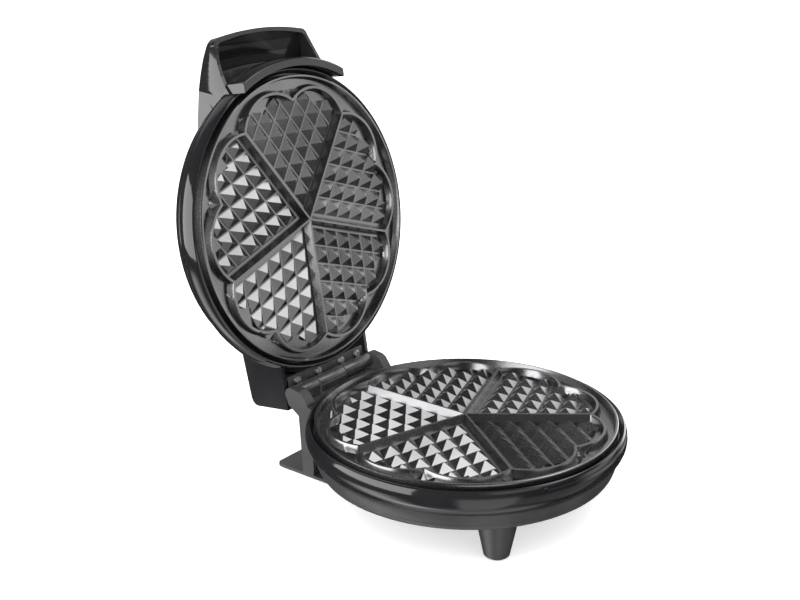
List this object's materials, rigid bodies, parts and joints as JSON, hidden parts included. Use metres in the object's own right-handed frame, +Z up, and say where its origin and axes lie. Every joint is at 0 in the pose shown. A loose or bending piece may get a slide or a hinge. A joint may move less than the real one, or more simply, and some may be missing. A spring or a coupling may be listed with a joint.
{
  "type": "waffle maker",
  "caption": "Round hinged waffle maker for heart-shaped waffles, shown open: gloss black shells, studded non-stick plates, hood handle, front feet and a rear stand.",
  "frame": {"origin": "centre of the open appliance's bounding box, on the table", "axes": "+Z up, -Y towards the user (front), +X to the user's right, hinge axis along X at the back"},
  "size_m": [0.205, 0.2827, 0.291],
  "materials": {
    "gloss_black": "polished black moulded shell",
    "matte_black": "fine-grained dark grey moulding",
    "nonstick": "dark satin non-stick coating on cast aluminium",
    "hinge_grey": "dark satin paint",
    "screw_steel": "bright zinc",
    "sheet_steel": "plain sheet",
    "element_steel": "heat-darkened tube",
    "rubber_pad": "matte",
    "ceramic_white": "unglazed",
    "terminal_plastic": "matte",
    "fuse_sleeve": "woven glass sleeve",
    "lens_red": "clear tinted",
    "lens_green": "clear tinted",
    "lamp_white": "matte"
  },
  "bodies": {
    "base": {"lower_plate": "nonstick", "base_shell": "matte_black", "base_ring": "gloss_black", "base_cover": "matte_black", "cover_screws": "screw_steel", "front_foot_left": "matte_black", "front_foot_right": "matte_black", "foot_screws": "screw_steel", "front_pads": "rubber_pad", "rear_stand": "matte_black", "stand_foot": "matte_black", "stand_screws": "screw_steel", "rear_pads": "rubber_pad", "cord_gland": "matte_black", "hinge_leaf_base": "hinge_grey", "hinge_pin": "screw_steel", "lower_element": "element_steel", "lower_reflector": "sheet_steel", "lower_plate_screws": "screw_steel", "thermostat": "ceramic_white", "thermostat_bracket": "sheet_steel", "thermal_fuse_lower": "fuse_sleeve", "terminal_block": "terminal_plastic"},
    "lid": {"upper_plate": "nonstick", "lid_dome": "gloss_black", "lid_ring": "gloss_black", "upper_element": "element_steel", "upper_reflector": "sheet_steel", "upper_plate_screws": "screw_steel", "thermal_fuse_upper": "fuse_sleeve", "hinge_cover": "gloss_black", "hinge_leaf_lid": "hinge_grey", "lid_leaf_screws": "screw_steel", "front_collar": "gloss_black", "handle_hood": "gloss_black", "handle_grip": "matte_black", "lamp_lens_power": "lens_red", "lamp_lens_ready": "lens_green", "lamp_holders": "lamp_white"}
  },
  "joints": [
    {"name": "lid_hinge", "type": "hinge", "parent": "base", "child": "lid", "pos_m": [0, 0.07173, 0.0573], "axis": [1, 0, 0], "range_deg": [0, 98.5]}
  ]
}
